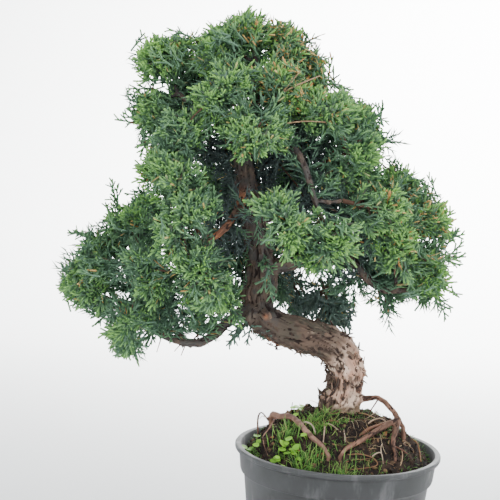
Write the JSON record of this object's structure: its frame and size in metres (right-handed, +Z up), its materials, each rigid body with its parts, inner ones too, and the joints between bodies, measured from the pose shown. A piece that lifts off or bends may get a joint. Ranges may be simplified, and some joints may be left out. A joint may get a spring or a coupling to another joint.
{
  "type": "chinese juniper bonsai",
  "caption": "Slanting juniper bonsai with a bent trunk, cord-like scale foliage in tufts and exposed roots, in a round plastic nursery pot full of soil.",
  "frame": {"origin": "centre of the pot's flat underside", "axes": "+Z up, the tree's longest extent; +X to the right of the tree seen from its front; the front faces -Y"},
  "size_m": [0.2287, 0.1459, 0.3533],
  "materials": {
    "bark": "rough flaking bark, grey-brown with reddish patches",
    "foliage": "waxy scale leaves, mid green with yellow-green tips",
    "soil": "loose dark potting soil with fibres",
    "ground_plants": "soft green grass, moss and seedlings",
    "pot": "worn grey-black plastic, satin"
  },
  "bodies": {
    "root": {"grass_by_trunk": "ground_plants", "grass_front": "ground_plants", "grass_front_left": "ground_plants", "grass_left": "ground_plants", "grass_right": "ground_plants", "loose_root": "bark", "pot": "pot", "seedling_by_root": "ground_plants", "seedling_front": "ground_plants", "seedling_left": "ground_plants", "seedling_middle": "ground_plants", "soil": "soil", "spray_apex_left": "foliage", "spray_apex_right": "foliage", "spray_apex_right_low": "foliage", "spray_apex_top": "foliage", "spray_back_apex": "foliage", "spray_back_centre": "foliage", "spray_back_left_high": "foliage", "spray_back_left_low": "foliage", "spray_back_left_out": "foliage", "spray_back_middle": "foliage", "spray_back_right": "foliage", "spray_back_right_high": "foliage", "spray_back_right_out": "foliage", "spray_back_upper_left": "foliage", "spray_back_upper_right": "foliage", "spray_centre_front_left": "foliage", "spray_centre_front_right": "foliage", "spray_centre_upper": "foliage", "spray_left_between": "foliage", "spray_left_front": "foliage", "spray_left_front_low": "foliage", "spray_left_front_top": "foliage", "spray_left_low": "foliage", "spray_left_low_in": "foliage", "spray_left_out": "foliage", "spray_left_out_low": "foliage", "spray_left_top": "foliage", "spray_left_under": "foliage", "spray_right_low": "foliage", "spray_right_low_front": "foliage", "spray_right_low_out": "foliage", "spray_right_middle": "foliage", "spray_right_out": "foliage", "spray_right_out_low": "foliage", "spray_right_top": "foliage", "spray_right_under": "foliage", "spray_under_right": "foliage", "spray_under_right_back": "foliage", "spray_upper_front": "foliage", "spray_upper_left_out": "foliage", "spray_upper_left_top": "foliage", "spray_upper_left_under": "foliage", "spray_upper_middle": "foliage", "spray_upper_right": "foliage", "spray_upper_right_in": "foliage", "trunk_and_limbs": "bark"}
  },
  "joints": []
}
